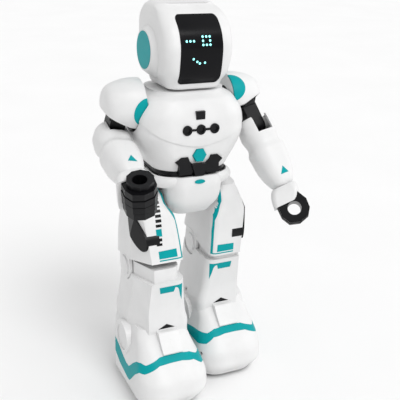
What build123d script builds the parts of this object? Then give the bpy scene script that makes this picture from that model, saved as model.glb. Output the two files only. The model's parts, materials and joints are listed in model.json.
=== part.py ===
from build123d import *
from math import cos, radians, sin
import os

os.makedirs("parts", exist_ok=True)

# A walking humanoid robot toy, in millimetres. The robot stands on z = 0 and looks along -Y;
# its own left side is +X. Every limb is drawn hanging straight down and is then posed about
# its pivots. Left and right limbs are mirror images with poses of their own.

# ---- driving dimensions ----
WALL = 1.8                  # moulded casing thickness
GAP = 0.4                   # gap between parts that move past each other
FIT = 0.05                  # radial clearance of a running pin

HEAD_TOP = 264.0
CHIN_Z = 212.0
CHEST_TOP = 210.5
CHEST_BOTTOM = 159.5
WAIST_Z = 156.0             # top of the pelvis ring
RING_Z = 148.6              # underside of the pelvis ring
CROTCH_Z = 126.4

SHOULDER_X, SHOULDER_Z = 44.0, 200.0
SHOULDER_SEAM = 31.0        # plane where a shoulder pad meets the chest
ARM_SPLAY = 12.0            # degrees the arm leans outwards
UPPER_ARM = 24.0            # shoulder to elbow
FOREARM = 46.0              # elbow to wrist
SHOULDER_SWING = {"left": 37.0, "right": -10.0}     # forward angles of the standing pose
ELBOW_BEND = {"left": 0.0, "right": 82.0}
WRIST_TURN = {"left": 60.0, "right": -70.0}

KNEE_Z = 90.0
THIGH = 58.8                # hip pin to knee pin
HIP_SWING = {"left": -9.3, "right": 9.3}
LEG_X = 25.8                # middle plane of a leg, where its two halves meet
THIGH_TOP = 144.5
THIGH_HEM = 97.0            # lower front edge of the thigh casing
SHIN_TOP = 87.5

SOLE_Z = 0.3                # the wheels carry the foot this far off the floor
WHEEL_R = 7.0
ROLLER_R = 5.0
DRIVE_Y = 12.0
ROLLER_Y = -30.0
PIN_R = 2.0                 # steel hip and knee pins

STAND_SHIFT = (-6.17, 12.53)    # puts the middle of the standing robot over the origin

SIDES = {"left": 1, "right": -1}


# ---- poses ----
STAND = Location((STAND_SHIFT[0], STAND_SHIFT[1], 0))
HIP_NEUTRAL_Z = KNEE_Z + THIGH
HIP_Z = KNEE_Z + THIGH * cos(radians(HIP_SWING["right"]))


def thigh_pose(side):
    swing = Location((0, 0, HIP_Z), (-HIP_SWING[side], 0, 0))
    return STAND * swing * Location((0, 0, -HIP_NEUTRAL_Z))


def shin_pose(side):
    return STAND * Location((0, -THIGH * sin(radians(HIP_SWING[side])), 0))


def shoulder_pose(side):
    return STAND * Location((SIDES[side] * SHOULDER_X, 0, SHOULDER_Z), (-SHOULDER_SWING[side], 0, 0))


def splayed_pose(side):
    return shoulder_pose(side) * Location((0, 0, 0), (0, -SIDES[side] * ARM_SPLAY, 0))


def elbow_pose(side):
    return splayed_pose(side) * Location((0, 0, -UPPER_ARM), (-ELBOW_BEND[side], 0, 0))


def wrist_pose(side):
    return elbow_pose(side) * Location((0, 0, -FOREARM), (0, 0, SIDES[side] * WRIST_TURN[side]))


# ---- shared shapes ----
SECTION_STEP = 4.0          # height between the sections of a lofted casing


def slopes(heights, values):
    """Slopes that carry a smooth curve through the values without overshooting them."""
    steps = [(v1 - v0) / (h1 - h0) for h0, h1, v0, v1 in zip(heights, heights[1:], values, values[1:])]
    inner = [0 if s0 * s1 <= 0 else 2 * s0 * s1 / (s0 + s1) for s0, s1 in zip(steps, steps[1:])]
    return [steps[0], *inner, steps[-1]]


def resampled(rows):
    """The same outline rows, read off at even heights."""
    heights = [row[0] for row in rows]
    columns = [[row[k] for row in rows] for k in range(1, len(rows[0]))]
    tangents = [slopes(heights, column) for column in columns]
    count = max(2, round((heights[-1] - heights[0]) / SECTION_STEP))
    result = []
    for index in range(count + 1):
        z = heights[0] + (heights[-1] - heights[0]) * index / count
        k = max(i for i in range(len(rows) - 1) if heights[i] <= z)
        span = heights[k + 1] - heights[k]
        t = (z - heights[k]) / span
        blend = (2 * t**3 - 3 * t**2 + 1, t**3 - 2 * t**2 + t, 3 * t**2 - 2 * t**3, t**3 - t**2)
        result.append((z, *(blend[0] * c[k] + blend[1] * span * m[k] + blend[2] * c[k + 1]
                            + blend[3] * span * m[k + 1] for c, m in zip(columns, tangents))))
    return result


def lofted(rows, inset=0.0, ends=(0.0, 0.0)):
    """Solid through rounded rectangles, each row being (z, x0, x1, y0, y1, corner)."""
    sections = resampled(rows) if len(rows) > 2 else rows
    last = len(sections) - 1
    with BuildPart() as body:
        for index, (z, x0, x1, y0, y1, corner) in enumerate(sections):
            lift = ends[0] if index == 0 else -ends[1] if index == last else 0
            with BuildSketch(Plane(((x0 + x1) / 2, (y0 + y1) / 2, z + lift))):
                RectangleRounded(x1 - x0 - 2 * inset, y1 - y0 - 2 * inset, max(corner - inset, 1.2))
        loft()
    return body.part


def both_sides(rows):
    """Rows (z, half width, front, back, corner) of a body that is the same left and right."""
    return [(z, -half, half, front, back, corner) for z, half, front, back, corner in rows]


def block(x0, x1, y0, y1, z0, z1):
    with BuildPart(Plane(((x0 + x1) / 2, (y0 + y1) / 2, (z0 + z1) / 2))) as box:
        Box(x1 - x0, y1 - y0, z1 - z0)
    return box.part


def rod_x(x0, x1, y, z, radius):
    with BuildPart() as rod:
        with BuildSketch(Plane((x0, y, z), x_dir=(0, 1, 0), z_dir=(1, 0, 0))):
            Circle(radius)
        extrude(amount=x1 - x0)
    return rod.part


def rod_y(x, y0, y1, z, radius):
    with BuildPart() as rod:
        with BuildSketch(Plane((x, y0, z), x_dir=(1, 0, 0), z_dir=(0, 1, 0))):
            Circle(radius)
        extrude(amount=y1 - y0)
    return rod.part


def prism_y(points, y0, y1):
    """Polygon of (x, z) points extruded from y0 to y1."""
    with BuildPart() as body:
        with BuildSketch(Plane((0, y0, 0), x_dir=(1, 0, 0), z_dir=(0, -1, 0))):
            with BuildLine():
                Polyline(*points, close=True)
            make_face()
        extrude(amount=y0 - y1)
    return body.part


def save(part, node, pose=STAND):
    placed = part.moved(pose)
    placed.label = node
    export_step(placed, f"parts/{node}.step")


def save_pair(part, node, pose):
    """Writes the left part and its mirror image, each in its own side's pose."""
    for side in SIDES:
        handed = part if side == "left" else mirror(part, about=Plane.YZ)
        save(handed, f"{side}_{node}", pose(side))


# ---- chest and back ----
CHEST = both_sides([
    (CHEST_BOTTOM, 26.0, -26.8, 24.0, 16),
    (166.0, 29.5, -28.8, 25.5, 17),
    (175.0, 34.5, -30.0, 27.0, 18),
    (184.0, 37.0, -30.8, 27.5, 18),
    (194.0, 36.5, -29.5, 27.0, 18),
    (203.0, 33.0, -26.0, 25.0, 18),
    (CHEST_TOP, 25.0, -19.5, 19.0, 15),
])
PAD_RECESS_R = 18.0
SHOULDER_PIN_R = 4.0
NECK_R = 9.0
DOOR = (17.0, 164.0, 192.0)         # battery door: half width, bottom, top
BOSSES = [(x, z) for x in (-21, 21) for z in (168, 180)]
BOSS_R = 2.6
SCREW_R = 1.1
EYE_Z, EYE_PITCH, EYE_R = 187.8, 9.6, 3.3
BUTTON_Z, BUTTON_R = 170.3, 4.8
SWITCH_X, SWITCH_Z = -2.2, 202.0    # slider in its off position

front_zone = block(-90, 90, -90, 0, 0, 300)
rear_zone = block(-90, 90, 0.02, 90, 0, 300)

# raised breast plate that ends in a shallow step above the hexagon button
with BuildPart() as breast_zone:
    with BuildSketch(Plane((0, -40, 0), x_dir=(1, 0, 0), z_dir=(0, -1, 0))):
        with BuildLine():
            Spline((-40, 197), (-30, 186), (-17, 180), (0, 176.5), (17, 180), (30, 186), (40, 197))
            Line((40, 197), (-40, 197))
        make_face()
    with BuildSketch(Plane((0, -40, 0), x_dir=(1, 0, 0), z_dir=(0, -1, 0))):
        with Locations((0, 205)):
            Rectangle(80, 16.1)
    extrude(amount=-40)
breast_plate = lofted(CHEST, inset=-0.6) & breast_zone.part
chest_outer = lofted(CHEST) + breast_plate
chest_cavity = lofted(CHEST, inset=WALL, ends=(-3.0, WALL))

with BuildPart() as torso:
    add(chest_outer)
    add(chest_cavity, mode=Mode.SUBTRACT)
    for sign in (-1, 1):
        seam = sign * (SHOULDER_SEAM - GAP)
        add(rod_x(*sorted((seam, sign * 60)), 0, SHOULDER_Z, PAD_RECESS_R), mode=Mode.SUBTRACT)
        add(rod_x(*sorted((seam - sign * WALL, seam)), 0, SHOULDER_Z, PAD_RECESS_R) & chest_outer)
        add(rod_x(*sorted((sign * 20, sign * 60)), 0, SHOULDER_Z, SHOULDER_PIN_R + FIT), mode=Mode.SUBTRACT)
    with BuildSketch(Plane.XY.offset(CHEST_TOP - 8)):
        Circle(NECK_R + GAP)
    extrude(amount=12, mode=Mode.SUBTRACT)

with BuildPart() as chest_shell:
    add(torso.part & front_zone)
    for x, z in BOSSES:
        add(rod_y(x, -26.5, 0, z, BOSS_R) & chest_outer)
        add(rod_y(x, -18, 1, z, SCREW_R), mode=Mode.SUBTRACT)
    for x in (-EYE_PITCH, 0, EYE_PITCH):
        add(rod_y(x, -40, -20, EYE_Z, EYE_R), mode=Mode.SUBTRACT)
    add(block(-EYE_PITCH, EYE_PITCH, -40, -30.3, EYE_Z - 0.7, EYE_Z + 0.7), mode=Mode.SUBTRACT)
    add(block(-3.1, 3.1, -40, -20, 194.2, 199.5), mode=Mode.SUBTRACT)
    with BuildSketch(Plane((0, -40, BUTTON_Z), x_dir=(1, 0, 0), z_dir=(0, 1, 0))):
        RegularPolygon(BUTTON_R + 0.3, 6)
    extrude(amount=25, mode=Mode.SUBTRACT)
save(chest_shell.part, "chest_shell")

with BuildPart() as back_shell:
    add(torso.part & rear_zone)
    add(block(-DOOR[0], DOOR[0], 15, 60, DOOR[1], DOOR[2]), mode=Mode.SUBTRACT)
    for x, z in BOSSES:
        add(rod_y(x, 0.02, 26, z, BOSS_R) & chest_outer)
        add(rod_y(x, -1, 40, z, SCREW_R + 0.1), mode=Mode.SUBTRACT)
        add(rod_y(x, 20, 40, z, 2.2), mode=Mode.SUBTRACT)
    add(block(-4.5, 4.5, 15, 60, SWITCH_Z - 2, SWITCH_Z + 2), mode=Mode.SUBTRACT)
save(back_shell.part, "back_shell")

with BuildPart() as sensor_bar:
    for x in (-EYE_PITCH, 0, EYE_PITCH):
        add(rod_y(x, -31.8, -27, EYE_Z, EYE_R - 0.02))
    add(block(-EYE_PITCH, EYE_PITCH, -31.7, -30.35, EYE_Z - 0.68, EYE_Z + 0.68))
    for x in (-EYE_PITCH, 0, EYE_PITCH):
        add(rod_y(x, -34, -30.9, EYE_Z, EYE_R - 1.2), mode=Mode.SUBTRACT)
save(sensor_bar.part, "sensor_bar")

with BuildPart() as sensor_window:
    add(block(-3.08, 3.08, -30.4, -26, 194.22, 199.48))
save(sensor_window.part, "sensor_window")

# the screws are driven from the back and hold both torso halves together
with BuildPart() as torso_screws:
    for x, z in BOSSES:
        add(rod_y(x, -12, 21.9, z, SCREW_R - 0.05))
        add(rod_y(x, 20.1, 22.0, z, 2.1))
save(torso_screws.part, "torso_screws")

# ---- belt, pelvis and hip pin ----
with BuildPart() as belt:
    add(lofted(both_sides([(WAIST_Z + 0.02, 25.5, -26.6, 23.5, 15), (CHEST_BOTTOM - 0.02, 25.3, -26.3, 23.2, 15)])))
    add(lofted(both_sides([(WAIST_Z - 1, 22.5, -23.0, 20.5, 12), (CHEST_BOTTOM + 1, 22.5, -23.0, 20.5, 12)])),
        mode=Mode.SUBTRACT)
    for sign in (-1, 1):
        corners = [(8.1, 169.7), (12.9, 169.7), (16.8, 166.6), (14.2, 163.9), (14.2, 157.6), (5.4, 157.6),
                   (3.4, 163.2), (7.0, 166.8)]
        add(prism_y([(sign * x, z) for x, z in corners], -30.2, -25.5) - chest_outer)
    add(prism_y([(-5.8, 164.6), (5.8, 164.6), (3.1, WAIST_Z + 0.6), (-3.1, WAIST_Z + 0.6)], -31.4, -25.5)
        - chest_outer)
belt_solid = belt.part

PELVIS_RING = both_sides([
    (RING_Z, 29.2, -27.8, 24.5, 15),
    (151.5, 30.2, -29.4, 25.5, 16),
    (154.0, 29.4, -29.3, 25.2, 16),
    (WAIST_Z, 27.0, -28.2, 24.0, 15),
])
PELVIS_BOWL = both_sides([
    (CROTCH_Z, 8.5, -17.0, 11.0, 7),
    (128.4, 13.2, -22.5, 15.0, 9),
    (133.0, 17.4, -27.2, 18.0, 10),
    (141.0, 19.4, -30.4, 20.0, 10),
    (150.0, 19.0, -31.8, 21.0, 9),
    (WAIST_Z, 17.5, -31.0, 21.5, 8),
])
BADGE_Z = 152.6
HIP_LUG = (22.4, 25.8, 7.4)         # inner face, outer face and radius of a thigh's hip lug

with BuildPart() as pelvis:
    add(lofted(PELVIS_RING))
    add(lofted(PELVIS_BOWL))
    add(lofted(PELVIS_RING, inset=WALL, ends=(WALL, -1.0)), mode=Mode.SUBTRACT)
    add(lofted(PELVIS_BOWL, inset=WALL, ends=(WALL, -1.0)), mode=Mode.SUBTRACT)
    for sign in (-1, 1):
        x0, x1 = sorted((sign * (HIP_LUG[0] - 0.5), sign * (HIP_LUG[1] + 0.5)))
        add(block(x0, x1, -HIP_LUG[2] - 1, HIP_LUG[2] + 1, RING_Z - 3, RING_Z + 4), mode=Mode.SUBTRACT)
        add(rod_x(x0, x1, 0, HIP_Z, HIP_LUG[2] + 0.4), mode=Mode.SUBTRACT)
        x0, x1 = sorted((sign * 12.0, sign * 19.0))
        add(block(x0, x1, -27.5, 18, HIP_Z - 4, HIP_Z + 4) & lofted(PELVIS_BOWL))
    add(rod_x(-27.6, 27.6, 0, HIP_Z, PIN_R + 0.02), mode=Mode.SUBTRACT)
    add(belt_solid, mode=Mode.SUBTRACT)
    with BuildSketch(Plane((0, -40, BADGE_Z), x_dir=(1, 0, 0), z_dir=(0, 1, 0))):
        Ellipse(3.7, 1.4)
    extrude(amount=30, mode=Mode.SUBTRACT)
save(pelvis.part & front_zone, "pelvis_front_shell")
save(pelvis.part & rear_zone, "pelvis_rear_shell")
save(belt_solid, "belt_trim")

with BuildPart() as pelvis_badge:
    with BuildSketch(Plane((0, -32.2, BADGE_Z), x_dir=(1, 0, 0), z_dir=(0, 1, 0))):
        Ellipse(3.65, 1.35)
    extrude(amount=3)
save(pelvis_badge.part, "pelvis_badge")

save(rod_x(-27.2, 27.2, 0, HIP_Z, PIN_R), "hip_pin")

# ---- chest fittings ----
with BuildPart() as mode_button:
    with BuildSketch(Plane((0, -31.0, BUTTON_Z), x_dir=(1, 0, 0), z_dir=(0, 1, 0))):
        RegularPolygon(BUTTON_R, 6)
    extrude(amount=6)
    fillet(mode_button.faces().sort_by(Axis.Y)[0].edges(), 0.5)
    add(rod_y(0, -25.1, -21.2, BUTTON_Z, 2.0))
save(mode_button.part, "mode_button")

with BuildPart() as main_board:
    add(block(-17, 17, -17.6, -16, 163, 199))
    add(block(-6, 6, -15.98, -14.2, 184, 196))
    add(block(-13, -8, -15.98, -13.5, 167, 176))
    add(block(-2.8, 2.8, -20.0, -17.62, BUTTON_Z - 2.8, BUTTON_Z + 2.8))
save(main_board.part, "main_board")

with BuildPart() as speaker:
    add(rod_y(0, -11.5, -9.0, 183, 12))
    add(rod_y(0, -9.02, -5.0, 183, 7.5))
save(speaker.part, "speaker")

save(block(-15.5, 15.5, 9.5, 22.0, 165.5, 190.5), "battery_pack")

with BuildPart() as battery_door:
    add(lofted(CHEST, inset=0.1) & block(-DOOR[0] + 0.15, DOOR[0] - 0.15, 22.6, 40, DOOR[1] + 0.15, DOOR[2] - 0.15))
    for z in (DOOR[2] - 8, DOOR[2] - 6, DOOR[2] - 4):
        add(block(-5, 5, 27.0, 40, z, z + 0.9), mode=Mode.SUBTRACT)
save(battery_door.part, "battery_door")

with BuildPart() as power_switch:
    add(block(SWITCH_X - 1.8, SWITCH_X + 1.8, 20.0, 27.0, SWITCH_Z - 1.7, SWITCH_Z + 1.7))
    add(block(SWITCH_X - 3.0, SWITCH_X + 3.0, 18.0, 20.0, SWITCH_Z - 3.0, SWITCH_Z + 3.0))
save(power_switch.part, "power_switch")

# ---- head ----
HEAD = both_sides([
    (CHIN_Z, 15.6, -19.0, 14.0, 8),
    (217.0, 19.9, -24.6, 19.0, 8),
    (226.0, 22.7, -28.4, 23.0, 7.5),
    (238.0, 23.5, -29.6, 24.5, 7),
    (246.0, 23.6, -27.6, 24.5, 7),
    (252.0, 23.5, -23.6, 24.2, 7),
    (258.0, 22.6, -16.8, 22.6, 7),
    (262.0, 20.6, -10.4, 19.6, 7),
    (HEAD_TOP, 18.4, -6.4, 16.8, 7),
])
VISOR = (14.3, 216.2, 258.2, 3.2)   # half width, bottom, top and corner radius
EAR_Y, EAR_Z = 1.7, 234.2
EAR_R, EAR_DISC_R = 18.0, 12.0
EAR_OUT = 26.8

head_outer = lofted(HEAD)
head_inner = lofted(HEAD, inset=WALL, ends=(WALL, WALL))


def visor_zone(margin):
    with BuildPart() as zone:
        with BuildSketch(Plane((0, -40, (VISOR[1] + VISOR[2]) / 2), x_dir=(1, 0, 0), z_dir=(0, 1, 0))):
            RectangleRounded(2 * (VISOR[0] + margin), VISOR[2] - VISOR[1] + 2 * margin, VISOR[3])
        extrude(amount=30)
    return zone.part


with BuildPart() as ear_cup_left:
    with BuildSketch(Plane((20.5, EAR_Y, EAR_Z), x_dir=(0, 1, 0), z_dir=(1, 0, 0))):
        Circle(EAR_R)
    with BuildSketch(Plane((EAR_OUT, EAR_Y, EAR_Z), x_dir=(0, 1, 0), z_dir=(1, 0, 0))):
        Circle(EAR_DISC_R + 1.2)
    loft()
    fillet(ear_cup_left.faces().sort_by(Axis.X)[-1].edges(), 0.6)
    add(rod_x(EAR_OUT - 1.0, EAR_OUT + 1, EAR_Y, EAR_Z, EAR_DISC_R + 0.05), mode=Mode.SUBTRACT)
    add(head_outer, mode=Mode.SUBTRACT)

head_halves = {"head_front_shell": block(-60, 60, -60, 4, 200, 280),
               "head_rear_shell": block(-60, 60, 4.02, 60, 200, 280)}
for node, zone in head_halves.items():
    with BuildPart() as head_shell:
        add(head_outer)
        add(head_inner, mode=Mode.SUBTRACT)
        if node == "head_front_shell":
            add(visor_zone(0.12), mode=Mode.SUBTRACT)
        with BuildSketch(Plane.XY.offset(CHIN_Z - 2)):
            Circle(NECK_R - 2)
        extrude(amount=5, mode=Mode.SUBTRACT)
        add(zone, mode=Mode.INTERSECT)
    save(head_shell.part, node)

with BuildPart() as visor:
    add(lofted(HEAD, inset=-0.3) & visor_zone(0))
    add(lofted(HEAD, inset=WALL - 0.2), mode=Mode.SUBTRACT)
save(visor.part, "visor")

with BuildPart() as ear_cups:
    add(ear_cup_left.part)
    add(mirror(ear_cup_left.part, about=Plane.YZ))
save(ear_cups.part, "ear_cups")

with BuildPart() as ear_discs:
    for sign in (-1, 1):
        add(rod_x(*sorted((sign * (EAR_OUT - 0.98), sign * (EAR_OUT + 0.3))), EAR_Y, EAR_Z, EAR_DISC_R))
save(ear_discs.part, "ear_discs")

LED_PITCH = 2.4
LEDS = [(-3 * LED_PITCH, 0), (-2 * LED_PITCH, 0), (-LED_PITCH, 0)]
LEDS += [(column * LED_PITCH, row * LED_PITCH) for column in (1, 2, 3) for row in (-1, 0, 1)
         if (column, row) != (2, 0)]
LEDS += [(-LED_PITCH, -5.5 * LED_PITCH), (0, -6.5 * LED_PITCH), (LED_PITCH, -7.5 * LED_PITCH),
         (2.2 * LED_PITCH, -6.8 * LED_PITCH)]
LED_ROW_Z = 243.0

with BuildPart() as led_board:
    add(block(-13.2, 13.2, -15.0, -13.4, 219, 250))
    for x, z in LEDS:
        add(rod_y(x, -17.0, -14.98, LED_ROW_Z + z, 0.8))
save(led_board.part, "led_board")

with BuildPart() as neck_post:
    with BuildSketch(Plane.XY.offset(CHEST_TOP - 6)):
        Circle(NECK_R - 0.1)
        Circle(NECK_R - 3, mode=Mode.SUBTRACT)
    extrude(amount=CHIN_Z - CHEST_TOP + 6)
    with BuildSketch(Plane.XY.offset(CHEST_TOP - 7)):
        Circle(NECK_R + 3)
        Circle(NECK_R - 3, mode=Mode.SUBTRACT)
    extrude(amount=2)
    with BuildSketch(Plane.XY.offset(CHIN_Z)):
        Circle(NECK_R - 2.1)
        Circle(NECK_R - 3, mode=Mode.SUBTRACT)
    extrude(amount=4)
save(neck_post.part, "neck_post")

# ---- legs, drawn as the left leg ----
THIGH_ROWS = [
    (THIGH_HEM, 13.4, 45.0, -33.0, 17.5, 5),
    (112.0, 14.4, 44.0, -30.4, 17.0, 5),
    (126.0, 16.0, 42.0, -27.4, 16.0, 5),
    (134.0, 20.6, 39.8, -23.8, 15.0, 5),
    (THIGH_TOP, 21.4, 36.5, -16.0, 13.0, 5),
]
KNEE_LUG_R = 9.6
KNEE_LUG = 2.2                      # thickness of the side lugs around the knee pin
KNEE_INNER, KNEE_OUTER = 13.3, 44.9 # outer faces of those lugs
BEVEL = ((37.0, -33.0), (44.8, -13.0))     # plan line of the flat that runs down the leg's front outer corner
SHIN_ROWS = [
    (44.0, 8.6, 46.2, -29.4, 18.0, 5),
    (52.0, 8.2, 46.8, -29.6, 18.0, 5),
    (62.0, 10.2, 45.8, -29.2, 16.5, 5),
    (76.0, 11.6, 44.6, -30.6, 15.4, 6),
    (SHIN_TOP, 12.6, 44.0, -32.0, 15.4, 7),
]
BOOT_ROWS = [
    (1.2, 5.4, 46.2, -43.0, 29.0, 15),
    (7.0, 1.2, 51.2, -53.0, 33.0, 17),
    (14.0, 0.6, 52.2, -57.0, 34.5, 17),
    (22.0, 1.4, 51.4, -56.4, 33.5, 16),
    (31.0, 3.8, 49.6, -50.6, 29.5, 14),
    (39.0, 7.0, 47.6, -41.0, 25.0, 10),
    (46.0, 9.2, 46.0, -32.4, 19.0, 7),
    (51.0, 11.4, 43.8, -26.6, 15.0, 6),
]
HEEL = [(26.8, -5.0), (25.9, 3.0), (22.4, 12.5), (17.2, 22.5), (10.0, 30.6), (0.0, 34.5)]
TONGUE = [(-20.0, 50.6), (-33.4, 50.6), (-37.8, 45.4), (-44.6, 38.6), (-20.0, 38.6)]
TONGUE_HALF = 7.2
KNUCKLE_ROWS = [(SHIN_TOP - 6, 16.0, 42.2, -30.3, 15.0, 7), (THIGH_HEM, 16.0, 42.2, -30.0, 15.0, 7)]
ANKLE_Y, ANKLE_Z, ANKLE_R = -6.6, 36.7, 12.4
outer_zone = block(LEG_X + 0.01, 90, -90, 90, -10, 200)
inner_zone = block(-20, LEG_X - 0.01, -90, 90, -10, 200)


def bevel_cut(inset):
    """Everything outside the front outer flat of the leg, the flat being moved inwards by the inset."""
    (x0, y0), (x1, y1) = BEVEL
    length = ((x1 - x0) ** 2 + (y1 - y0) ** 2) ** 0.5
    dx, dy = (x1 - x0) / length, (y1 - y0) / length
    base = [(x0 - 30 * dx, y0 - 30 * dy), (x1 + 30 * dx, y1 + 30 * dy)]
    near = [(x - inset * dy, y + inset * dx) for x, y in base]
    far = [(x + 40 * dy, y - 40 * dx) for x, y in base]
    with BuildPart() as cut:
        with BuildSketch(Plane.XY):
            with BuildLine():
                Polyline(near[0], near[1], far[1], far[0], close=True)
            make_face()
        extrude(amount=200)
    return cut.part


def heel_plan(inset):
    """Plan of the boot: straight sides that draw in to a round heel, shrunk by the inset."""
    half = [(max(w - inset, 0.0), y - (inset if w == 0 else 0)) for w, y in HEEL]
    right = [(LEG_X + w, y) for w, y in half]
    left = [(LEG_X - w, y) for w, y in reversed(half[:-1])]
    with BuildPart() as plan:
        with BuildSketch(Plane.XY.offset(-5)):
            with BuildLine():
                Spline(*right, *left, tangents=((0, 1), (0, -1)))
                Polyline(left[-1], (left[-1][0], -80), (right[0][0], -80), right[0])
            make_face()
        extrude(amount=70)
    return plan.part


thigh_outer = lofted(THIGH_ROWS) - bevel_cut(0)
with BuildPart() as thigh:
    add(thigh_outer)
    add(lofted(THIGH_ROWS, inset=WALL, ends=(-2.0, WALL)) - bevel_cut(WALL), mode=Mode.SUBTRACT)
    add(rod_x(HIP_LUG[0], HIP_LUG[1], 0, HIP_NEUTRAL_Z, HIP_LUG[2]))
    add(block(HIP_LUG[0], HIP_LUG[1], -HIP_LUG[2], HIP_LUG[2], THIGH_TOP - 1, HIP_NEUTRAL_Z))
    for x in (KNEE_INNER, KNEE_OUTER - KNEE_LUG):
        add(rod_x(x, x + KNEE_LUG, 0, KNEE_Z, KNEE_LUG_R))
        add(block(x, x + KNEE_LUG, -KNEE_LUG_R, KNEE_LUG_R, KNEE_Z, THIGH_HEM + 2))
    add(rod_x(0, 60, 0, KNEE_Z, PIN_R + 0.01), mode=Mode.SUBTRACT)
    add(rod_x(0, 30, 0, HIP_NEUTRAL_Z, PIN_R + FIT), mode=Mode.SUBTRACT)
save_pair(thigh.part & outer_zone, "thigh_outer_shell", thigh_pose)
save_pair(thigh.part & inner_zone, "thigh_inner_shell", thigh_pose)

# leaf-shaped gloss cover on the outer face of the thigh
with BuildPart() as leaf_zone:
    with BuildSketch(Plane((30, 0, 0), x_dir=(0, 1, 0), z_dir=(1, 0, 0))):
        with BuildLine():
            Spline((-3, 141.5), (-15, 133), (-26.5, 120), (-31, 111), (-28.5, 105.6), (-22, 107.5), (-14, 117),
                   (-7, 129), (-3, 141.5))
        make_face()
    extrude(amount=30)
with BuildPart() as thigh_cover:
    add((lofted(THIGH_ROWS, inset=-1.4) - bevel_cut(-1.4)) & leaf_zone.part)
    add(thigh_outer, mode=Mode.SUBTRACT)
save_pair(thigh_cover.part, "thigh_cover", thigh_pose)

with BuildPart() as knee_pin:
    add(rod_x(KNEE_INNER - 1.1, KNEE_OUTER + 1.1, 0, KNEE_Z, PIN_R))
    for x in (KNEE_INNER - 1.12, KNEE_OUTER + 0.02):
        add(rod_x(x, x + 1.1, 0, KNEE_Z, 6.8))
save_pair(knee_pin.part, "knee_pin", thigh_pose)

with BuildPart() as tongue:
    with BuildSketch(Plane((LEG_X - TONGUE_HALF, 0, 0), x_dir=(0, 1, 0), z_dir=(1, 0, 0))):
        with BuildLine():
            Polyline(*TONGUE, close=True)
        make_face()
    extrude(amount=2 * TONGUE_HALF)
    fillet(tongue.edges().filter_by(Axis.X).sort_by(Axis.Y)[:3], 1.0)

boot_room = lofted(BOOT_ROWS, inset=WALL, ends=(-2.0, WALL)) & heel_plan(WALL)
shin_room = lofted(SHIN_ROWS, inset=WALL, ends=(-1.0, WALL)) - bevel_cut(WALL)
knuckle_room = lofted(KNUCKLE_ROWS, inset=WALL, ends=(-2.0, WALL)) - bevel_cut(2 * WALL + 1.2)
boot_wall = (lofted(BOOT_ROWS) & heel_plan(0)) - boot_room - shin_room
shin_wall = lofted(SHIN_ROWS) - bevel_cut(0) - shin_room - boot_room
knuckle_wall = lofted(KNUCKLE_ROWS) - bevel_cut(WALL + 1.2) - knuckle_room - shin_room

with BuildPart() as shin:
    add(boot_wall)
    add(shin_wall)
    add(tongue.part - boot_room - shin_room)
    add(knuckle_wall)
    for x0, x1, face in ((44.0, 50.4, 49.6), (5.0, 12.0, 3.0)):
        add(rod_x(x0, x1, ANKLE_Y, ANKLE_Z, ANKLE_R) - boot_room - shin_room)
        add(rod_x(face, face + 2.8, ANKLE_Y, ANKLE_Z, ANKLE_R - 3.2), mode=Mode.SUBTRACT)
    add(rod_x(0, KNEE_INNER + KNEE_LUG + GAP, 0, KNEE_Z, KNEE_LUG_R + GAP), mode=Mode.SUBTRACT)
    add(rod_x(KNEE_OUTER - KNEE_LUG - GAP, 60, 0, KNEE_Z, KNEE_LUG_R + GAP), mode=Mode.SUBTRACT)
    add(rod_x(0, 60, 0, KNEE_Z, PIN_R + FIT), mode=Mode.SUBTRACT)
    for y, z in ((-5.1, 53.0), (-46.0, 22.0)):
        add(rod_x(0, 13, y, z, 1.6), mode=Mode.SUBTRACT)
save_pair(shin.part & outer_zone, "shin_outer_shell", shin_pose)
save_pair(shin.part & inner_zone, "shin_inner_shell", shin_pose)

# ---- foot drive ----
WHEEL_X = (LEG_X - 13, LEG_X + 13)
AXLE_R = 1.0
AXLES = {"drive_wheels": (DRIVE_Y, WHEEL_R), "front_roller": (ROLLER_Y, ROLLER_R)}

with BuildPart() as sole_plate:
    add(lofted([(SOLE_Z, 8.6, 43.0, -38.0, 26.0, 14), (2.6, 7.6, 44.0, -40.0, 27.4, 14)]) & heel_plan(WALL + 1))
    for y, radius in AXLES.values():
        for x in WHEEL_X:
            add(block(x - 3, x + 3, y - radius, y + radius, -1, 6), mode=Mode.SUBTRACT)
        for x in (LEG_X - 8.5, LEG_X + 8.5):
            add(block(x - 0.8, x + 0.8, y - 3, y + 3, 2.5, radius + 3))
            add(rod_x(x - 1, x + 1, y, radius, AXLE_R + FIT), mode=Mode.SUBTRACT)
save_pair(sole_plate.part, "sole_plate", shin_pose)

for node, (y, radius) in AXLES.items():
    with BuildPart() as wheels:
        add(rod_x(LEG_X - 15, LEG_X + 15, y, radius, AXLE_R))
        for x in WHEEL_X:
            add(rod_x(x - 2.3, x + 2.3, y, radius, radius))
    save_pair(wheels.part, node, shin_pose)

with BuildPart() as foot_motor:
    add(block(LEG_X - 6, LEG_X + 6, DRIVE_Y - 8, DRIVE_Y + 8, 9.5, 27))
    add(rod_y(LEG_X, -19.0, DRIVE_Y - 7.9, 19.5, 6.5))
    add(block(LEG_X - 5, LEG_X + 5, DRIVE_Y + 4, DRIVE_Y + 8, 2.62, 10))
save_pair(foot_motor.part, "foot_motor", shin_pose)

# ---- arms, drawn as the left arm with the shoulder at the origin ----
PAD_R = 17.0
PAD_OUT = 11.5                      # how far the pad reaches outwards of the shoulder point
HUB_R = 8.0
SEAM_X = SHOULDER_SEAM - SHOULDER_X


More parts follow.
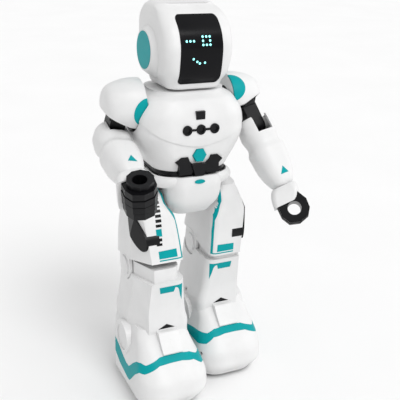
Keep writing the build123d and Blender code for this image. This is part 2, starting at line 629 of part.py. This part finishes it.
def pad_dome(inset):
    """Rounded shoulder cap whose flat face lies on the chest seam."""
    with BuildPart() as dome:
        with BuildSketch(Plane.XY):
            with BuildLine():
                Line((SEAM_X + inset, 0), (SEAM_X + inset, PAD_R - inset))
                Spline((SEAM_X + inset, PAD_R - inset), (0, PAD_R - 0.9 - inset), (7.6 - inset / 2, 13.2 - inset),
                       (PAD_OUT - inset, 0), tangents=((1, 0.1), (0, -1)))
                Line((PAD_OUT - inset, 0), (SEAM_X + inset, 0))
            make_face()
        revolve(axis=Axis.X)
    return dome.part


# the pad is open underneath, where the upper arm comes out
with BuildPart() as underarm:
    with BuildSketch(Plane((0, -30, 0), x_dir=(1, 0, 0), z_dir=(0, -1, 0))):
        with BuildLine():
            Polyline((SEAM_X - 1, -13.5), (-4, -11.0), (PAD_OUT + 2, -1.5), (PAD_OUT + 2, -30),
                     (SEAM_X - 1, -30), close=True)
        make_face()
    extrude(amount=-60)

# crescent patch set into the front of the pad, next to the seam
with BuildPart() as patch_zone:
    with BuildSketch(Plane((0, -30, 0), x_dir=(1, 0, 0), z_dir=(0, -1, 0))):
        with BuildLine():
            Line((SEAM_X, -9.5), (SEAM_X, 9.5))
            ThreePointArc((SEAM_X, 9.5), (SEAM_X + 9, -1.0), (SEAM_X, -9.5))
        make_face()
    extrude(amount=-30)
patch_solid = (pad_dome(-0.25) & patch_zone.part) - pad_dome(1.0) - underarm.part
patch_solid = patch_solid - rod_x(SEAM_X - 1, SEAM_X + 1.1, 0, 0, PAD_R - 1.2)

with BuildPart() as shoulder_pad:
    add(pad_dome(0))
    add(pad_dome(WALL), mode=Mode.SUBTRACT)
    add(rod_x(SEAM_X - 1, SEAM_X + 8, 0, 0, HUB_R + 0.02), mode=Mode.SUBTRACT)
    add(underarm.part, mode=Mode.SUBTRACT)
    add(patch_solid, mode=Mode.SUBTRACT)
save_pair(shoulder_pad.part, "shoulder_pad", shoulder_pose)
save_pair(patch_solid, "shoulder_patch", shoulder_pose)

# black upper arm: axle stub into the chest, hub inside the pad and a yoke that narrows to a tab
TAB_R = 5.4
TAB_HALF = 5.4
ELBOW_PIN_R = 1.5
with BuildPart() as yoke:
    add(lofted([(-10.0, -6.0, 6.0, -6.4, 6.4, 3), (0.0, -7.0, 7.0, -7.2, 7.2, 3)]))
    add(block(-TAB_HALF, TAB_HALF, -TAB_R, TAB_R, -UPPER_ARM, -9))
    add(rod_x(-TAB_HALF, TAB_HALF, 0, -UPPER_ARM, TAB_R))
    add(rod_x(-9, 9, 0, -UPPER_ARM, ELBOW_PIN_R + FIT), mode=Mode.SUBTRACT)
with BuildPart() as upper_arm:
    add(rod_x(SEAM_X + 0.02, 8.0, 0, 0, HUB_R))
    add(rod_x(SEAM_X - 8, SEAM_X + 1, 0, 0, SHOULDER_PIN_R))
    add(rod_x(SEAM_X - 8, SEAM_X - 5.5, 0, 0, SHOULDER_PIN_R + 2))
    add(yoke.part.moved(Location((0, 0, 0), (0, -ARM_SPLAY, 0))))
save_pair(upper_arm.part, "upper_arm", shoulder_pose)

# forearm casing, drawn with the elbow at the origin
FOREARM_ROWS = [
    (-FOREARM, -6.4, 6.4, -6.2, 6.2, 5),
    (-41.0, -9.0, 9.0, -8.6, 8.6, 6),
    (-30.0, -11.6, 11.6, -10.8, 11.0, 8),
    (-19.0, -12.2, 12.2, -11.4, 11.8, 9),
    (-13.5, -10.6, 10.6, -10.0, 10.6, 8.5),
    (-8.5, -12.0, 12.0, -11.4, 12.2, 9.5),
    (-1.0, -11.8, 11.8, -11.4, 11.8, 9.5),
    (4.5, -10.6, 10.6, -10.6, 10.6, 9),
]
forearm_outer = lofted(FOREARM_ROWS)
WRIST_PIN_R = 3.0
with BuildPart() as forearm:
    add(forearm_outer)
    add(lofted(FOREARM_ROWS, inset=WALL, ends=(WALL, -1.0)), mode=Mode.SUBTRACT)
    for x0, x1 in ((-11.0, -TAB_HALF - GAP), (TAB_HALF + GAP, 11.0)):
        add(rod_x(x0, x1, 0, 0, 4.0) & forearm_outer)
    add(block(-TAB_HALF - GAP, TAB_HALF + GAP, -15, 0, -7.0, 6), mode=Mode.SUBTRACT)
    add(rod_x(-10.2, 10.2, 0, 0, ELBOW_PIN_R + 0.01), mode=Mode.SUBTRACT)
    with BuildSketch(Plane.XY.offset(-FOREARM - 1)):
        Circle(WRIST_PIN_R + FIT)
    extrude(amount=5, mode=Mode.SUBTRACT)
save_pair(forearm.part & block(-30, 30, -30, -0.01, -70, 30), "forearm_front_shell", elbow_pose)
save_pair(forearm.part & block(-30, 30, 0.01, 30, -70, 30), "forearm_rear_shell", elbow_pose)
save_pair(rod_x(-10.1, 10.1, 0, 0, ELBOW_PIN_R), "elbow_pin", elbow_pose)

# hand, drawn with the wrist at the origin; four fingers curl round a grip hole along X and the
# thumb closes a ring beside the first finger
GRIP_Z, GRIP_R, FINGER = -17.6, 4.6, 5.1
THUMB = 3.4                         # how far the thumb ring stands out of the first finger
FIST_OUTLINE = [(5.5, -2.6), (8.6, -6.5), (10.4, -12.0), (10.4, -20.0), (7.4, -26.0), (0.5, -28.2),
                (-6.4, -26.2), (-10.0, -21.0), (-10.4, -14.5), (-7.6, -8.8), (-5.5, -2.6)]


def finger(x0, x1, shrink):
    """Slice of the fist from x0 to x1, its outline drawn in towards the grip hole."""
    outline = [(y * shrink, GRIP_Z + (z - GRIP_Z) * shrink) for y, z in FIST_OUTLINE]
    with BuildPart() as slice_part:
        with BuildSketch(Plane((x0, 0, 0), x_dir=(0, 1, 0), z_dir=(1, 0, 0))):
            with BuildLine():
                Polyline(*outline, close=True)
            make_face()
        extrude(amount=x1 - x0)
    return slice_part.part


with BuildPart() as fist:
    for index, shrink in enumerate((0.93, 0.98, 1.0, 0.96)):
        start = (index - 2) * FINGER
        add(finger(start + 0.3, start + FINGER - 0.3, shrink))
        add(finger(start - 0.02, start + FINGER + 0.02, 0.88) & block(-30, 30, -30, 30, -60, -5))
    add(lofted([(-14.0, -9.2, 9.2, -6.0, 8.4, 3), (-2.5, -7.6, 7.6, -6.6, 7.2, 3)]))
    with BuildSketch(Plane((2 * FINGER - 1, -0.6, GRIP_Z + 0.8), x_dir=(0, 1, 0), z_dir=(1, 0, 0))):
        RegularPolygon(8.6, 10)
    extrude(amount=THUMB + 1)
    add(rod_x(-20, 20, 0, GRIP_Z, GRIP_R), mode=Mode.SUBTRACT)
    with BuildSketch(Plane.XY.offset(-3)):
        Circle(WRIST_PIN_R)
    extrude(amount=9)
    with BuildSketch(Plane.XY.offset(3)):
        Circle(WRIST_PIN_R + 1.2)
    extrude(amount=2)
save_pair(fist.part, "fist", wrist_pose)

# white cuff over the wrist and the back of the hand
with BuildPart() as hand_plate:
    add(lofted([(-12.6, -11.2, 11.2, -3.0, 12.4, 3), (-6.0, -10.8, 10.8, -8.8, 11.6, 4),
                (-0.4, -8.4, 8.4, -8.0, 8.6, 5)]))
    add(fist.part, mode=Mode.SUBTRACT)
cuff = max(hand_plate.part.solids(), key=lambda solid: solid.volume)
save_pair(Part() + cuff, "hand_plate", wrist_pose)
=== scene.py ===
import json
import math

import bmesh
import bpy
from mathutils import Matrix, Vector
from mathutils.bvhtree import BVHTree
from mathutils.geometry import delaunay_2d_cdt

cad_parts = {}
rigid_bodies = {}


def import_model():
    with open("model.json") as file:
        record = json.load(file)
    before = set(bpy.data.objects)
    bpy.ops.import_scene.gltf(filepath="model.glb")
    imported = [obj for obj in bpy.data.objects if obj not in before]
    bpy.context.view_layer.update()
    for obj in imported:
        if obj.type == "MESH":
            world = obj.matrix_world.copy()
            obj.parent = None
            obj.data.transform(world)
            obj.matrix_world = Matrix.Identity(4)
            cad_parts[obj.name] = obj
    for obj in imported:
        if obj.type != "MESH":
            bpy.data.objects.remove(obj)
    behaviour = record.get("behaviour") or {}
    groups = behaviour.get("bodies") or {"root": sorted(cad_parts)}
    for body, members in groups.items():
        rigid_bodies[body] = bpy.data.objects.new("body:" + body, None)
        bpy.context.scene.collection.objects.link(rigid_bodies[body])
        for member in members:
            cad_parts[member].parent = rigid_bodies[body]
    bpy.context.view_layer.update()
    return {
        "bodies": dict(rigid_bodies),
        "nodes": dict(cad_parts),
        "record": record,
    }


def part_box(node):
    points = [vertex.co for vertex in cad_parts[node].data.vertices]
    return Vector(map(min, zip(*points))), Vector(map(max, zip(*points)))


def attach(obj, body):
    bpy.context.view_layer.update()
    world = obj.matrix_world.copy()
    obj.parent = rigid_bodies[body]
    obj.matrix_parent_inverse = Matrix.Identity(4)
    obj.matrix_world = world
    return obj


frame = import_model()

MM = 0.001
nodes = frame["nodes"]


def centre(node):
    low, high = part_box(node)
    return (low + high) / 2


HIP = centre("hip_pin")                 # on the robot's own middle plane, at the height of the hips
MIDDLE = Vector((HIP.x, HIP.y, 0.0))    # the floor under the torso's middle


# ---------------------------------------------------------------- materials
def principled(name):
    material = bpy.data.materials.new(name)
    material.use_nodes = True
    tree = material.node_tree
    return material, tree, tree.nodes["Principled BSDF"]


def node(tree, kind, **inputs):
    made = tree.nodes.new(kind)
    for key, value in inputs.items():
        made.inputs[key.replace("_", " ")].default_value = value
    return made


def noise(tree, scale, detail=4.0, roughness=0.5, stretch=(1, 1, 1)):
    coords = tree.nodes.new("ShaderNodeTexCoord")
    mapping = tree.nodes.new("ShaderNodeMapping")
    mapping.inputs["Scale"].default_value = stretch
    tree.links.new(coords.outputs["Object"], mapping.inputs["Vector"])
    texture = node(tree, "ShaderNodeTexNoise", Scale=scale, Detail=detail, Roughness=roughness)
    tree.links.new(mapping.outputs["Vector"], texture.inputs["Vector"])
    return texture.outputs["Fac"]


def ramp(tree, factor, low, high):
    """Blends from one colour to the other over the middle of the factor's range."""
    made = tree.nodes.new("ShaderNodeValToRGB")
    made.color_ramp.elements[0].position = 0.3
    made.color_ramp.elements[1].position = 0.7
    made.color_ramp.elements[0].color = (*low, 1)
    made.color_ramp.elements[1].color = (*high, 1)
    tree.links.new(factor, made.inputs["Fac"])
    return made.outputs["Color"]


def spread(tree, factor, low, high):
    made = tree.nodes.new("ShaderNodeMapRange")
    made.inputs["To Min"].default_value = low
    made.inputs["To Max"].default_value = high
    tree.links.new(factor, made.inputs["Value"])
    return made.outputs["Result"]


def bump(tree, factor, strength, distance):
    made = node(tree, "ShaderNodeBump", Strength=strength, Distance=distance)
    tree.links.new(factor, made.inputs["Height"])
    return made.outputs["Normal"]


MOTTLE_SCALE = 55.0


def plastic(name, low, high, rough, grain=2600.0, grain_depth=0.012, shine=0.5):
    """Moulded plastic: faint mottling, uneven gloss and the fine grain of the mould."""
    material, tree, shader = principled(name)
    tree.links.new(ramp(tree, noise(tree, MOTTLE_SCALE), low, high), shader.inputs["Base Color"])
    tree.links.new(spread(tree, noise(tree, 140.0, 6.0), *rough), shader.inputs["Roughness"])
    tree.links.new(bump(tree, noise(tree, grain, 3.0), 0.35, grain_depth * MM), shader.inputs["Normal"])
    shader.inputs["Specular IOR Level"].default_value = shine
    return material


def brushed(name, low, high, stretch):
    """Drawn or turned metal with fine streaks along one direction."""
    material, tree, shader = principled(name)
    streaks = noise(tree, 900.0, 8.0, 0.7, stretch)
    tree.links.new(ramp(tree, streaks, low, high), shader.inputs["Base Color"])
    tree.links.new(spread(tree, streaks, 0.22, 0.42), shader.inputs["Roughness"])
    tree.links.new(bump(tree, streaks, 0.2, 0.01 * MM), shader.inputs["Normal"])
    shader.inputs["Metallic"].default_value = 1.0
    return material


def circuit(name):
    """Solder-masked board with a pattern of copper tracks under the mask."""
    material, tree, shader = principled(name)
    coords = tree.nodes.new("ShaderNodeTexCoord")
    tracks = node(tree, "ShaderNodeTexBrick", Scale=420.0)
    tracks.inputs["Color1"].default_value = (0.01, 0.13, 0.05, 1)
    tracks.inputs["Color2"].default_value = (0.015, 0.17, 0.07, 1)
    tracks.inputs["Mortar"].default_value = (0.10, 0.30, 0.12, 1)
    tree.links.new(coords.outputs["Object"], tracks.inputs["Vector"])
    tree.links.new(tracks.outputs["Color"], shader.inputs["Base Color"])
    tree.links.new(spread(tree, noise(tree, 300.0), 0.3, 0.45), shader.inputs["Roughness"])
    tree.links.new(bump(tree, tracks.outputs["Fac"], 0.4, 0.03 * MM), shader.inputs["Normal"])
    return material


def glowing(name, colour, strength):
    """A light dot: a glow with the slight unevenness of a diffuser."""
    material, tree, shader = principled(name)
    glow = ramp(tree, noise(tree, 1500.0), tuple(c * 0.85 for c in colour), colour)
    tree.links.new(glow, shader.inputs["Emission Color"])
    tree.links.new(glow, shader.inputs["Base Color"])
    shader.inputs["Emission Strength"].default_value = strength
    return material


MATERIALS = {
    "white": plastic("white_plastic", (0.71, 0.71, 0.71), (0.76, 0.76, 0.76), (0.34, 0.46), shine=0.35),
    "teal": plastic("teal_plastic", (0.0, 0.29, 0.31), (0.0, 0.33, 0.35), (0.30, 0.42), shine=0.12),
    "black": plastic("black_plastic", (0.002, 0.002, 0.003), (0.006, 0.006, 0.007), (0.26, 0.40), shine=0.22),
    "visor": plastic("screen_plastic", (0.001, 0.001, 0.002), (0.003, 0.003, 0.004), (0.18, 0.26),
                     grain_depth=0.002, shine=0.16),
    "grey": plastic("grey_plastic", (0.20, 0.20, 0.21), (0.26, 0.26, 0.27), (0.45, 0.6)),
    "rubber": plastic("rubber", (0.02, 0.02, 0.02), (0.035, 0.035, 0.035), (0.65, 0.85), 900.0, 0.05),
    "steel": brushed("plated_steel", (0.50, 0.50, 0.52), (0.70, 0.70, 0.72), (1, 8, 8)),
    "board": circuit("circuit_board"),
    "speaker": plastic("speaker_paper", (0.02, 0.02, 0.02), (0.05, 0.05, 0.05), (0.7, 0.9), 1200.0, 0.08),
    "battery": plastic("battery_wrap", (0.02, 0.07, 0.28), (0.03, 0.10, 0.36), (0.3, 0.4)),
    "light": glowing("light_dot", (0.30, 0.92, 0.90), 1.3),
}

slot_of = {part["node"]: part["material_slot"] for part in frame["record"]["subparts"]}
for name, piece in nodes.items():
    piece.data.materials.clear()
    piece.data.materials.append(MATERIALS[slot_of[name]])


# ---------------------------------------------------------------- printed marks and light dots
# Outlines are in millimetres on the standing robot: across from its middle plane, and up from the floor.
SWING = 9.3                       # degrees each thigh is off upright at rest, right forward and left back
STANDING_HIP = 148.8              # height of the hip line on the standing robot
DROP = STANDING_HIP - HIP.z / MM  # how much lower the torso is in mid stride
STRIDE = 9.5                      # how far the right shin is ahead of the torso and the left one behind it
SHOULDER_X, SHOULDER_Z = 44.0, 200.0
UPPER_ARM = 24.0                  # shoulder to elbow
SPLAY = 12.0                      # degrees each arm leans out
ARM_SWING = {"left": 37.0, "right": -10.0}
ELBOW_BEND = {"left": 0.0, "right": 82.0}
RAY_AHEAD, RAY_AROUND = 80.0, 90.0  # where rays start: ahead of the robot's middle, and out from an ankle
body_names = {empty.name: name for name, empty in frame["bodies"].items()}


def sign_of(side):
    return -1 if side == "right" else 1


def surface(*pieces):
    """One search tree over the skins of several CAD nodes."""
    corners, faces = [], []
    for piece in pieces:
        mesh, start = nodes[piece].data, len(corners)
        corners += [vertex.co.copy() for vertex in mesh.vertices]
        faces += [tuple(start + index for index in face.vertices) for face in mesh.polygons]
    return BVHTree.FromPolygons(corners, faces)


def on_torso():
    return Matrix.Translation(MIDDLE - Vector((0, 0, DROP)) * MM)


def on_thigh(side):
    """Carries a point of the standing thigh, in millimetres, to where the thigh is at rest."""
    turn = math.radians(sign_of(side) * SWING)
    return (Matrix.Translation(Vector((MIDDLE.x, MIDDLE.y, HIP.z))) @ Matrix.Rotation(turn, 4, "X")
            @ Matrix.Translation(Vector((0, 0, -STANDING_HIP)) * MM))


def on_shin(side):
    return Matrix.Translation(MIDDLE + Vector((0, sign_of(side) * STRIDE, 0)) * MM)


def on_forearm(side):
    """The elbow's own frame: the forearm hangs down its -Z from the elbow pin."""
    sign = sign_of(side)
    return (on_torso() @ Matrix.Translation(Vector((sign * SHOULDER_X, 0, SHOULDER_Z)) * MM)
            @ Matrix.Rotation(math.radians(-ARM_SWING[side]), 4, "X")
            @ Matrix.Rotation(math.radians(-sign * SPLAY), 4, "Y")
            @ Matrix.Translation(Vector((0, 0, -UPPER_ARM)) * MM)
            @ Matrix.Rotation(math.radians(-ELBOW_BEND[side]), 4, "X"))


def fine_outline(outline, step):
    """The closed outline with its sides cut into steps, so that it can bend over a curved skin."""
    points = []
    for here, there in zip(outline, outline[1:] + outline[:1]):
        pieces = max(1, math.ceil(math.dist(here, there) / step))
        points += [Vector(here).lerp(Vector(there), part / pieces) for part in range(pieces)]
    return points


def inside(outline, u, v):
    """Whether a point is inside: a line from it crosses the outline an odd number of times."""
    odd = False
    for (x1, y1), (x2, y2) in zip(outline, outline[1:] + outline[:1]):
        if (y1 > v) != (y2 > v) and u < (x2 - x1) * (v - y1) / (y2 - y1) + x1:
            odd = not odd
    return odd


EDGE_GAP = 0.45                   # of a step, kept free between the grid's points and the edge


def grid_points(outline, edge, step):
    """Inner points on a square grid, kept clear of the edge so that no triangle is a sliver."""
    columns = [u for u, v in outline]
    rows = [v for u, v in outline]
    points = []
    for i in range(int(min(columns) / step) - 1, int(max(columns) / step) + 2):
        for j in range(int(min(rows) / step) - 1, int(max(rows) / step) + 2):
            u, v = i * step, j * step
            nearest = min((Vector((u, v)) - point).length for point in edge)
            if nearest > EDGE_GAP * step and inside(outline, u, v):
                points.append(Vector((u, v)))
    return points


INSIDE_ONLY, SMALLEST = 1, 1e-6   # triangulate inside the outline, and the distance that counts as nothing


def laid_on(skin, flat, aim, lift, sunk):
    """Each flat point as (point above the skin, point under it), or None where its ray misses the skin."""
    pairs = []
    for u, v in flat:
        start, along = aim(u, v)
        spot, normal, _, _ = skin.ray_cast(start, along)
        if spot is None:
            pairs.append(None)
            continue
        outward = normal if normal.dot(along) < 0 else -normal
        pairs.append((spot + outward * lift * MM, spot - outward * sunk * MM))
    return pairs


def facing_out(faces, top, along):
    """The faces, turned round together if the first one faces the way that the rays go."""
    a, b, c = faces[0][:3]
    normal = (top[b] - top[a]).cross(top[c] - top[a])
    return [face[::-1] for face in faces] if normal.dot(along) > 0 else faces


def film_mesh(name, top, under, faces):
    """A closed film: its faces on top, the same ones turned round underneath, and walls along the rim."""
    count = len(top)
    sides = {(a, b) for face in faces for a, b in zip(face, face[1:] + face[:1])}
    walls = [[b, a, a + count, b + count] for a, b in sorted(sides) if (b, a) not in sides]
    backs = [[corner + count for corner in reversed(face)] for face in faces]
    mesh = bpy.data.meshes.new(name)
    mesh.from_pydata(top + under, [], faces + backs + walls)
    drop_loose_corners(mesh)
    return mesh


def drop_loose_corners(mesh):
    work = bmesh.new()
    work.from_mesh(mesh)
    loose = [corner for corner in work.verts if not corner.link_faces]
    bmesh.ops.delete(work, geom=loose, context="VERTS")
    work.to_mesh(mesh)
    work.free()


def patch(name, outline, aim, skin, owner, finish, step=1.0, lift=0.12, sunk=0.15):
    """A thin closed film that lies on the skin. aim turns a point of the flat outline into a ray."""
    edge = fine_outline(outline, step)
    flat = edge + grid_points(outline, edge, step)
    rim = list(range(len(edge)))
    flat, _, faces, _, _, _ = delaunay_2d_cdt(flat, [], [rim], INSIDE_ONLY, SMALLEST)
    pairs = laid_on(skin, flat, aim, lift, sunk)
    faces = [list(face) for face in faces if all(pairs[corner] for corner in face)]
    top = [pair[0] if pair else Vector() for pair in pairs]
    under = [pair[1] if pair else Vector() for pair in pairs]
    _, along = aim(*flat[faces[0][0]])
    mesh = film_mesh(name, top, under, facing_out(faces, top, along))
    mesh.materials.append(MATERIALS[finish])
    piece = bpy.data.objects.new(name, mesh)
    bpy.context.scene.collection.objects.link(piece)
    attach(piece, body_names[nodes[owner].parent.name])


def front_aim(place, side):
    """Rays straight at the front of a body, each for a point across and up it."""
    sign = sign_of(side)
    along = place.to_3x3() @ Vector((0, 1, 0))
    return lambda across, up: (place @ (Vector((sign * across, -RAY_AHEAD, up)) * MM), along)


def round_outline(across, up, radius, corners=20):
    turns = [2 * math.pi * index / corners for index in range(corners)]
    return [(across + radius * math.cos(turn), up + radius * math.sin(turn)) for turn in turns]


# thigh stripe: down the front near the inner edge, then a thin line out along the thigh's lower edge
STRIPE = [(21.9, 144.0), (21.2, 135.0), (16.4, 126.4), (15.2, 115.6), (14.4, 98.4), (31.4, 98.4),
          (31.4, 99.2), (15.7, 99.2), (16.3, 113.8), (17.0, 123.3), (19.2, 128.0), (22.9, 135.2), (23.7, 144.0)]
BLOCK = [(18.6, 100.0), (31.5, 100.0), (31.6, 105.0), (18.9, 105.4)]
SHIN_MARK = [(31.7, 84.5), (14.8, 84.5), (15.0, 72.0), (16.4, 76.0), (17.6, 81.0), (18.6, 82.6), (20.2, 83.1),
             (21.2, 79.7), (31.0, 79.7)]
TONGUE_MARK = [(25.5, 54.6), (31.6, 51.4), (19.4, 51.4)]
# abstract bars up the outer side of the right thigh: bottom, top and finish of each
BAR_WIDTH, BAR_X, BAR_LEAN = 4.0, 30.4, -0.083
BARS = [(108.6, 110.2, "black"), (111.4, 113.4, "black"), (114.6, 119.4, "teal"), (120.6, 122.4, "black"),
        (123.6, 125.6, "black"), (126.8, 128.6, "black"), (129.8, 131.6, "black"), (132.8, 133.8, "black"),
        (135.0, 136.6, "black"), (137.8, 139.2, "black")]
# foot band: plan angle from the toe, outward positive, with the heights of its two edges
BAND = [(-120, 29, 23), (-90, 30, 24), (-60, 33, 27), (-41, 34.8, 27.5), (-30, 35.3, 29.5),
        (-22, 37.6, 33.6), (-8, 38.3, 34.7), (8, 38.3, 34.7), (20, 38.0, 34.4), (29, 36.0, 31.6),
        (35, 34.4, 29.6), (42, 34.7, 28.8), (49, 33.3, 24.6), (58, 29.2, 17.6), (63, 26.4, 14.9),
        (69, 23.6, 14.8), (80, 23.3, 15.5), (104, 25.5, 16.9), (122, 28, 20), (150, 30, 23)]
ANKLE = (25.5, -14.0)             # the point the band's plan angles turn about
BAND_RADIUS = 28.0                # the radius at which an angle is measured off as a length
CUFF = [(-3.2, -38.6), (3.2, -38.6), (0, -33.6)]  # across and down from the elbow pin


def foot_aim(side):
    """Rays level at the foot from all round it."""
    place = on_shin(side)
    sign = sign_of(side)

    def aim(arc, up):
        """arc is the way round the ankle from the toe, as a length at BAND_RADIUS."""
        angle = arc / BAND_RADIUS
        out = Vector((sign * math.sin(angle), -math.cos(angle), 0))
        start = Vector((sign * ANKLE[0], ANKLE[1], up)) + out * RAY_AROUND
        return place @ (start * MM), -out
    return aim


def add_leg_marks(side):
    inner_thigh, outer_thigh = f"{side}_thigh_inner_shell", f"{side}_thigh_outer_shell"
    thigh = surface(inner_thigh, outer_thigh, f"{side}_thigh_cover")
    thigh_aim = front_aim(on_thigh(side), side)
    patch(f"{side}_thigh_stripe", STRIPE, thigh_aim, thigh, outer_thigh, "teal", step=0.7)
    patch(f"{side}_thigh_block", BLOCK, thigh_aim, thigh, outer_thigh, "teal")
    inner_shin, outer_shin = f"{side}_shin_inner_shell", f"{side}_shin_outer_shell"
    shin = surface(inner_shin, outer_shin)
    shin_aim = front_aim(on_shin(side), side)
    patch(f"{side}_shin_mark", SHIN_MARK, shin_aim, shin, outer_shin, "teal")
    patch(f"{side}_instep_mark", TONGUE_MARK, shin_aim, shin, outer_shin, "black")
    upper = [(math.radians(turn) * BAND_RADIUS, high) for turn, high, low in BAND]
    lower = [(math.radians(turn) * BAND_RADIUS, low) for turn, high, low in BAND]
    patch(f"{side}_foot_band", upper + lower[::-1], foot_aim(side), shin, outer_shin, "teal")


def add_thigh_bars():
    owner = "right_thigh_outer_shell"
    skin = surface(owner, "right_thigh_inner_shell")
    aim = front_aim(on_thigh("right"), "right")
    for index, (low, high, finish) in enumerate(BARS):
        middle = BAR_X + BAR_LEAN * ((low + high) / 2 - BARS[0][0])
        left, right = middle - BAR_WIDTH / 2, middle + BAR_WIDTH / 2
        outline = [(left, low), (right, low), (right, high), (left, high)]
        patch(f"thigh_bar_{index + 1}", outline, aim, skin, owner, finish)


def add_cuff_marks():
    for side in ("left", "right"):
        owner = f"{side}_forearm_front_shell"
        skin = surface(owner, f"{side}_forearm_rear_shell")
        aim = front_aim(on_forearm(side), side)
        patch(f"{side}_cuff_mark", CUFF, aim, skin, owner, "teal", step=0.8)


# light dots of the face, in columns and rows of one pitch: a dash, a square ring and a crooked smile
PITCH, EYE_Z, DOT_RADIUS = 2.4, 244.2, 0.7
DASH_EYE = [(-4.3, 0), (-3.3, 0), (-2.3, 0)]
RING_COLUMN = 1.25
RING_EYE = [(column + RING_COLUMN, row)
            for column in (-1, 0, 1) for row in (-1, 0, 1) if (column, row) != (0, 0)]
MOUTH = [(-2.4, -4.5), (-1.3, -5.25), (-0.55, -5.7), (0.9, -5.55)]


def add_light_dots():
    skin = surface("visor")
    aim = front_aim(on_torso(), "left")
    for index, (column, row) in enumerate(DASH_EYE + RING_EYE + MOUTH):
        outline = round_outline(column * PITCH, EYE_Z + row * PITCH, DOT_RADIUS)
        patch(f"light_dot_{index + 1}", outline, aim, skin, "visor", "light", step=0.5, lift=0.08, sunk=0.1)


add_leg_marks("left")
add_leg_marks("right")
add_thigh_bars()
add_cuff_marks()
add_light_dots()


# ---------------------------------------------------------------- stage, light and camera
FLOOR_HALF = 12.0                 # in metres, wide enough to reach past the top of the picture


def add_floor():
    far, near = FLOOR_HALF, -FLOOR_HALF
    mesh = bpy.data.meshes.new("floor")
    mesh.from_pydata([(near, near, 0), (far, near, 0), (far, far, 0), (near, far, 0)], [], [(0, 1, 2, 3)])
    floor = bpy.data.objects.new("floor", mesh)
    bpy.context.scene.collection.objects.link(floor)
    material, tree, shader = principled("floor_paper")
    paper = ramp(tree, noise(tree, 6.0), (0.86, 0.86, 0.86), (0.88, 0.88, 0.88))
    tree.links.new(paper, shader.inputs["Base Color"])
    shader.inputs["Roughness"].default_value = 0.9
    mesh.materials.append(material)


def toward(azimuth, elevation):
    """The way out from the robot to that side and height, in degrees; azimuth 0 is in front."""
    turn, rise = math.radians(azimuth), math.radians(elevation)
    return Vector((math.sin(turn) * math.cos(rise), -math.cos(turn) * math.cos(rise), math.sin(rise)))


def add_sun(name, azimuth, elevation, softness, strength):
    data = bpy.data.lights.new(name, "SUN")
    data.angle, data.energy = math.radians(softness), strength
    light = bpy.data.objects.new(name, data)
    back = toward(azimuth, elevation)
    light.rotation_euler = (-back).to_track_quat("-Z", "Y").to_euler()
    light.location = MIDDLE + back
    bpy.context.scene.collection.objects.link(light)


def add_camera():
    distance, lens, roll = 0.50304, 63.0, 1.75
    target = MIDDLE + Vector((15.63, 0, 125.73)) * MM
    back = toward(-25.57, 21.38)
    data = bpy.data.cameras.new("camera")
    data.lens, data.sensor_width = lens, 36.0
    data.clip_start, data.clip_end = 0.01, 40.0
    camera = bpy.data.objects.new("camera", data)
    camera.location = target + back * distance
    level = (-back).to_track_quat("-Z", "Y").to_matrix()
    camera.rotation_euler = (level @ Matrix.Rotation(math.radians(roll), 3, "Z")).to_euler()
    bpy.context.scene.collection.objects.link(camera)
    bpy.context.scene.camera = camera


def add_world():
    world = bpy.data.worlds.new("studio")
    world.use_nodes = True
    world.node_tree.nodes["Background"].inputs["Color"].default_value = (1, 1, 1, 1)
    world.node_tree.nodes["Background"].inputs["Strength"].default_value = 0.72
    bpy.context.scene.world = world
    bpy.context.scene.view_settings.view_transform = "Standard"


add_floor()
add_world()
add_sun("key", 12, 50, 30, 1.35)
add_sun("fill", 75, 30, 60, 0.50)
add_camera()
